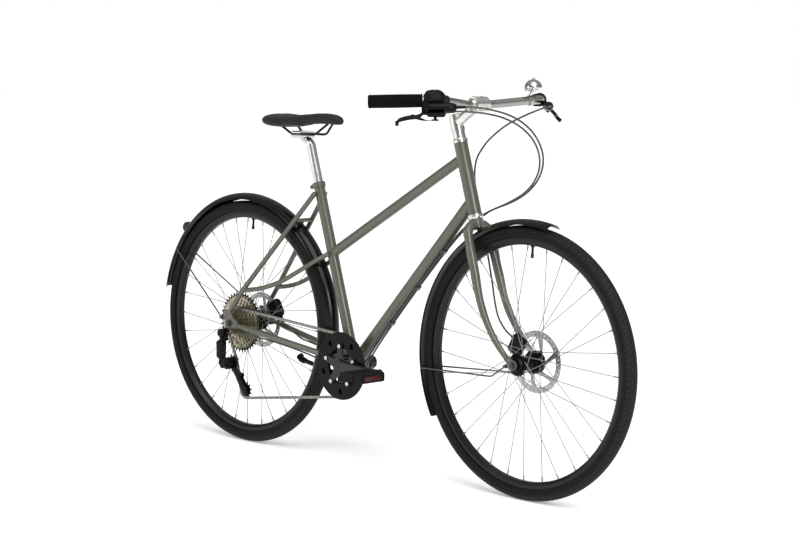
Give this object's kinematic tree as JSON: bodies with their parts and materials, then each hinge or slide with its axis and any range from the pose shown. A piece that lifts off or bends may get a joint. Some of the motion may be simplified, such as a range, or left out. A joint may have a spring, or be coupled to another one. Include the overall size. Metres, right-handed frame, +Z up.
{
  "type": "hybrid bike",
  "caption": "Upright hybrid bike with a sloping frame, swept silver handlebar, disc brakes, full fenders, rear derailleur and working steering, wheels, cranks and levers",
  "frame": {"origin": "on the ground, under the middle of the bounding box", "axes": "+X forward along the bike, +Y to the rider's left, +Z up"},
  "size_m": [1.781, 0.656, 1.0643],
  "materials": {
    "frame_paint": "satin paint",
    "silver_alloy": "polished",
    "bell_metal": "polished",
    "steel": "brushed",
    "chain_steel": "oiled",
    "cassette_steel": "nickel plated",
    "black_alloy": "black anodised",
    "black_plastic": "moulded",
    "fender_black": "gloss",
    "light_lens": "tinted lens",
    "tyre_rubber": "moulded tread",
    "grip_rubber": "moulded",
    "saddle_cover": "grained",
    "cable_sheath": "smooth"
  },
  "bodies": {
    "frame": {"head_tube": "frame_paint", "top_tube": "frame_paint", "down_tube": "frame_paint", "seat_tube": "frame_paint", "bottom_bracket_shell": "frame_paint", "chainstays": "frame_paint", "seat_stays": "frame_paint", "dropouts": "frame_paint", "headset": "silver_alloy", "bottom_bracket_cups": "black_alloy", "seat_clamp": "silver_alloy", "rear_fender": "fender_black", "rear_fender_stays": "steel", "tail_light": "light_lens", "rear_caliper": "black_alloy", "rear_axle": "steel", "derailleur_body": "black_alloy", "kickstand_bracket": "black_alloy", "chain": "chain_steel", "rear_cables": "cable_sheath"},
    "steering": {"fork": "frame_paint", "stem": "silver_alloy", "handlebar": "silver_alloy", "grips": "grip_rubber", "brake_lever_bodies": "black_alloy", "shifter_body": "black_plastic", "bell": "bell_metal", "front_fender": "fender_black", "front_fender_stays": "steel", "front_caliper": "black_alloy", "front_axle": "steel", "front_brake_hose": "cable_sheath"},
    "front_wheel": {"front_tyre": "tyre_rubber", "front_rim": "black_alloy", "front_spokes": "steel", "front_hub": "black_alloy", "front_rotor": "steel"},
    "rear_wheel": {"rear_tyre": "tyre_rubber", "rear_rim": "black_alloy", "rear_spokes": "steel", "rear_hub": "black_alloy", "rear_rotor": "steel"},
    "cassette": {"cassette": "cassette_steel"},
    "crank": {"crank_arms": "black_alloy", "chainring": "black_alloy"},
    "right_pedal": {"right_pedal": "black_plastic"},
    "left_pedal": {"left_pedal": "black_plastic"},
    "right_brake_lever": {"right_brake_lever": "black_alloy"},
    "left_brake_lever": {"left_brake_lever": "black_alloy"},
    "shift_lever": {"shift_lever": "black_plastic"},
    "bell_striker": {"bell_striker": "black_plastic"},
    "derailleur_link": {"derailleur_link": "black_alloy"},
    "derailleur_knuckle": {"derailleur_knuckle": "black_alloy"},
    "derailleur_cage": {"derailleur_cage": "black_alloy"},
    "guide_pulley": {"guide_pulley": "black_plastic"},
    "tension_pulley": {"tension_pulley": "black_plastic"},
    "seat": {"saddle": "saddle_cover", "saddle_rails": "black_alloy", "seatpost": "silver_alloy"},
    "kickstand_leg": {"kickstand_leg": "black_alloy"}
  },
  "joints": [
    {"name": "steering_turn", "type": "hinge", "parent": "frame", "child": "steering", "pos_m": [0.35798, 0, 0.71279], "axis": [-0.2874, 0, 0.9578], "range_deg": [-40, 40], "deforming": ["rear_cables"]},
    {"name": "front_wheel_spin", "type": "hinge", "parent": "steering", "child": "front_wheel", "pos_m": [0.54156, 0, 0.349], "axis": [0, 1, 0], "continuous": true},
    {"name": "rear_wheel_spin", "type": "hinge", "parent": "frame", "child": "rear_wheel", "pos_m": [-0.52614, 0, 0.349], "axis": [0, 1, 0], "continuous": true},
    {"name": "crank_spin", "type": "hinge", "parent": "frame", "child": "crank", "pos_m": [-0.08024, 0, 0.275], "axis": [0, 1, 0], "continuous": true, "deforming": ["chain"]},
    {"name": "cassette_spin", "type": "hinge", "parent": "frame", "child": "cassette", "pos_m": [-0.52614, -0.04775, 0.349], "axis": [0, 1, 0], "continuous": true, "deforming": ["chain"]},
    {"name": "right_pedal_spin", "type": "hinge", "parent": "crank", "child": "right_pedal", "pos_m": [0.08976, -0.137, 0.275], "axis": [0, 1, 0], "continuous": true},
    {"name": "left_pedal_spin", "type": "hinge", "parent": "crank", "child": "left_pedal", "pos_m": [-0.25024, 0.137, 0.275], "axis": [0, 1, 0], "continuous": true},
    {"name": "right_brake_squeeze", "type": "hinge", "parent": "steering", "child": "right_brake_lever", "pos_m": [0.40003, -0.23121, 0.98609], "axis": [-0.4573, 0.4888, -0.743], "range_deg": [0, 12], "stiffness_Nm_per_rad": 1.5, "springref_deg": -5.73},
    {"name": "left_brake_squeeze", "type": "hinge", "parent": "steering", "child": "left_brake_lever", "pos_m": [0.40003, 0.23121, 0.98609], "axis": [0.4573, 0.4888, 0.743], "range_deg": [0, 12], "stiffness_Nm_per_rad": 1.5, "springref_deg": -5.73},
    {"name": "shift_push", "type": "hinge", "parent": "steering", "child": "shift_lever", "pos_m": [0.40106, -0.1976, 0.96356], "axis": [0, 0, 1], "range_deg": [0, 20], "stiffness_Nm_per_rad": 0.6, "springref_deg": -5.73},
    {"name": "bell_flick", "type": "hinge", "parent": "steering", "child": "bell_striker", "pos_m": [0.38658, 0.17008, 1.03415], "axis": [0, 0, 1], "range_deg": [0, 25], "stiffness_Nm_per_rad": 0.1, "springref_deg": -5.73},
    {"name": "derailleur_swing", "type": "hinge", "parent": "frame", "child": "derailleur_link", "pos_m": [-0.53814, -0.083, 0.304], "axis": [1, 0, 0], "range_deg": [-15, 19], "deforming": ["chain"]},
    {"name": "derailleur_knuckle_turn", "type": "hinge", "parent": "derailleur_link", "child": "derailleur_knuckle", "pos_m": [-0.54014, -0.083, 0.245], "axis": [1, 0, 0], "range_deg": [-19, 15], "deforming": ["chain"]},
    {"name": "cage_turn", "type": "hinge", "parent": "derailleur_knuckle", "child": "derailleur_cage", "pos_m": [-0.54014, -0.04775, 0.23], "axis": [0, 1, 0], "range_deg": [-25, 20], "stiffness_Nm_per_rad": 0.6, "deforming": ["chain"]},
    {"name": "guide_pulley_spin", "type": "hinge", "parent": "derailleur_cage", "child": "guide_pulley", "pos_m": [-0.54014, -0.04775, 0.23], "axis": [0, 1, 0], "continuous": true, "deforming": ["chain"]},
    {"name": "tension_pulley_spin", "type": "hinge", "parent": "derailleur_cage", "child": "tension_pulley", "pos_m": [-0.47977, -0.04775, 0.15794], "axis": [0, 1, 0], "continuous": true, "deforming": ["chain"]},
    {"name": "seatpost_height", "type": "slide", "parent": "frame", "child": "seat", "axis": [-0.2974, 0, 0.9548], "range_m": [-0.08, 0.05]},
    {"name": "kickstand_swing", "type": "hinge", "parent": "frame", "child": "kickstand_leg", "pos_m": [-0.14014, 0.027, 0.226], "axis": [-0.1955, -0.8378, -0.5098], "range_deg": [0, 94]}
  ],
  "couplings": [
    {"joint": "cassette_spin", "follows": "crank_spin", "ratio": 2},
    {"joint": "guide_pulley_spin", "follows": "crank_spin", "ratio": -3.8182},
    {"joint": "tension_pulley_spin", "follows": "crank_spin", "ratio": 3.8182},
    {"joint": "derailleur_knuckle_turn", "follows": "derailleur_swing", "ratio": -1}
  ]
}
